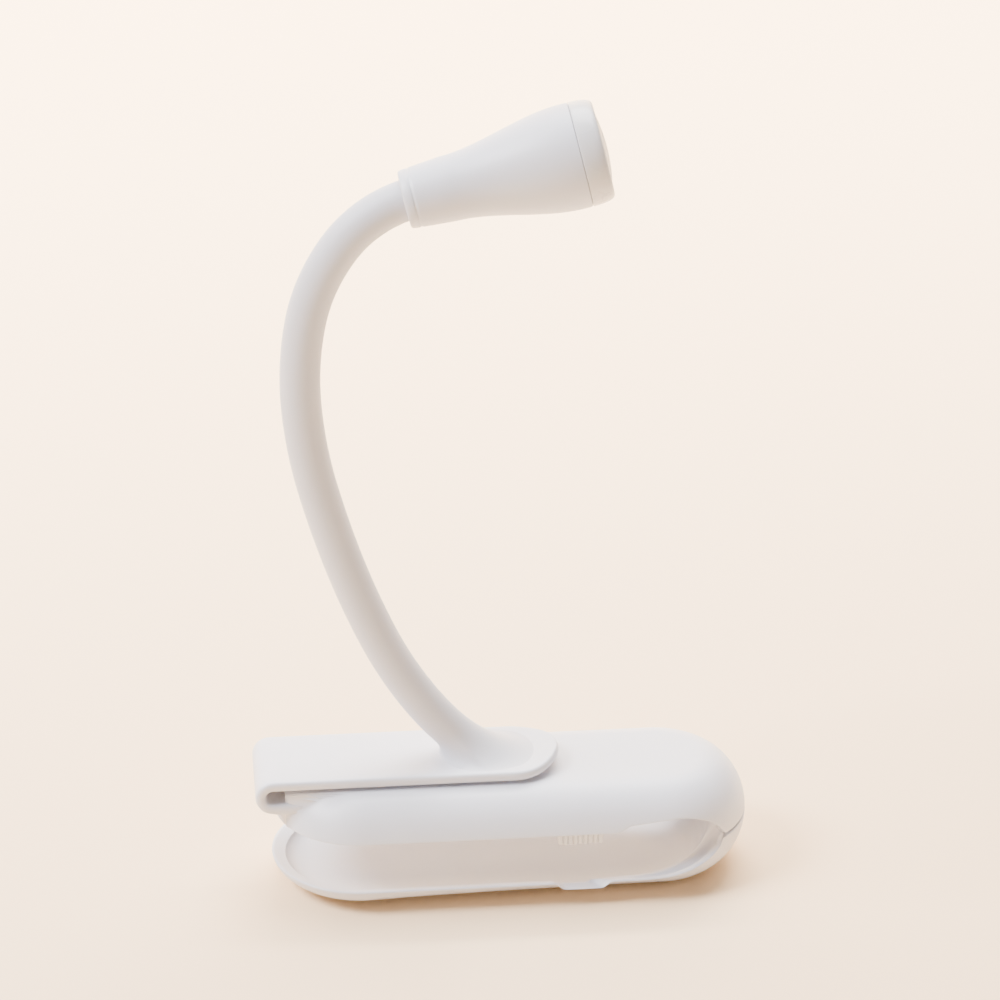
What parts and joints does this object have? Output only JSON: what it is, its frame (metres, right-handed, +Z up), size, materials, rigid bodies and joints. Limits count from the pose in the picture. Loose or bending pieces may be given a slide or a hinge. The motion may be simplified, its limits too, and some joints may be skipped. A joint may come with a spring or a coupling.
{
  "type": "clip-on reading lamp",
  "caption": "Small battery reading lamp: sprung jaw base with a belt clip, bendable gooseneck and a bell-shaped head with a frosted lens.",
  "frame": {"origin": "middle of the base's length and width, on the face of the lower jaw that it rests on", "axes": "+Z up, +X along the base towards the jaw hinge, Y across the base; the switch is on the -Y side"},
  "size_m": [0.0965, 0.0352, 0.1598],
  "materials": {
    "white_shell": "fine satin moulding, cool white ABS",
    "white_ring": "semi-gloss white ABS",
    "white_knob": "satin, ribbed",
    "white_sleeve": "matte white silicone sleeve",
    "frosted_lens": "frosted clear diffuser",
    "reflector_metal": "vacuum metallised",
    "led_phosphor": "phosphor under clear silicone",
    "green_board": "solder resist on glass fibre board",
    "switch_black": "moulded nylon",
    "cell_steel": "brushed nickel-plated can",
    "nickel_strip": "nickel-plated spring strip",
    "screw_steel": "zinc-plated",
    "spring_steel": "drawn spring wire",
    "wire_red": "PVC insulation"
  },
  "bodies": {
    "jaw": {"jaw_tray": "white_shell", "jaw_spring": "spring_steel"},
    "housing": {"housing_shell": "white_shell", "housing_cover": "white_shell", "battery_door": "white_shell", "button_cells": "cell_steel", "cell_contact_top": "nickel_strip", "cell_contact_springs": "nickel_strip", "circuit_board": "green_board", "switch_body": "switch_black", "cover_screws": "screw_steel", "door_screw": "screw_steel", "hinge_pin": "screw_steel", "clip_root": "white_shell", "clip_bend": "white_shell"},
    "switch": {"switch_knob": "white_knob"},
    "clip": {"clip_tongue": "white_shell", "neck_anchor": "screw_steel", "neck_root": "white_sleeve", "neck_core": "spring_steel", "lead_wires": "wire_red"},
    "neck_1": {"neck_sleeve_1": "white_sleeve"},
    "neck_2": {"neck_sleeve_2": "white_sleeve"},
    "neck_3": {"neck_sleeve_3": "white_sleeve"},
    "neck_4": {"neck_sleeve_4": "white_sleeve"},
    "neck_5": {"neck_sleeve_5": "white_sleeve"},
    "neck_6": {"neck_sleeve_6": "white_sleeve"},
    "head": {"neck_sleeve_7": "white_sleeve", "head_ferrule": "screw_steel", "head_shell": "white_shell", "head_bezel": "white_ring", "head_lens": "frosted_lens", "reflector": "reflector_metal", "led_board": "green_board", "led_emitter": "led_phosphor"}
  },
  "joints": [
    {"name": "jaw_hinge", "type": "hinge", "parent": "jaw", "child": "housing", "pos_m": [0.0424, 0, 0.0117], "axis": [0, 1, 0], "range_deg": [0, 6], "stiffness_Nm_per_rad": 0.45, "springref_deg": -34.38, "deforming": ["jaw_spring"]},
    {"name": "switch_slide", "type": "slide", "parent": "housing", "child": "switch", "axis": [1, 0, 0], "range_m": [0, 0.002]},
    {"name": "clip_flex", "type": "hinge", "parent": "housing", "child": "clip", "pos_m": [-0.0463, 0, 0.0223], "axis": [0, -1, 0], "range_deg": [0, 5], "stiffness_Nm_per_rad": 1.5, "springref_deg": -5.73, "deforming": ["clip_bend", "neck_core", "lead_wires"]},
    {"name": "neck_bend_1", "type": "hinge", "parent": "clip", "child": "neck_1", "pos_m": [-0.01673, 0, 0.03742], "axis": [0, 1, 0], "range_deg": [-20, 20]},
    {"name": "neck_bend_2", "type": "hinge", "parent": "neck_1", "child": "neck_2", "pos_m": [-0.02515, 0, 0.05215], "axis": [-0.9135, 0, -0.4067], "range_deg": [-20, 20]},
    {"name": "neck_bend_3", "type": "hinge", "parent": "neck_2", "child": "neck_3", "pos_m": [-0.03131, 0, 0.06799], "axis": [0, 1, 0], "range_deg": [-20, 20]},
    {"name": "neck_bend_4", "type": "hinge", "parent": "neck_3", "child": "neck_4", "pos_m": [-0.03607, 0, 0.08431], "axis": [0, 1, 0], "range_deg": [-20, 20]},
    {"name": "neck_bend_5", "type": "hinge", "parent": "neck_4", "child": "neck_5", "pos_m": [-0.03872, 0, 0.10108], "axis": [0, 1, 0], "range_deg": [-20, 20]},
    {"name": "neck_bend_6", "type": "hinge", "parent": "neck_5", "child": "neck_6", "pos_m": [-0.03769, 0, 0.118], "axis": [-0.9816, 0, 0.1908], "range_deg": [-20, 20]},
    {"name": "neck_bend_7", "type": "hinge", "parent": "neck_6", "child": "head", "pos_m": [-0.03083, 0, 0.13339], "axis": [0, 1, 0], "range_deg": [-20, 20]}
  ]
}
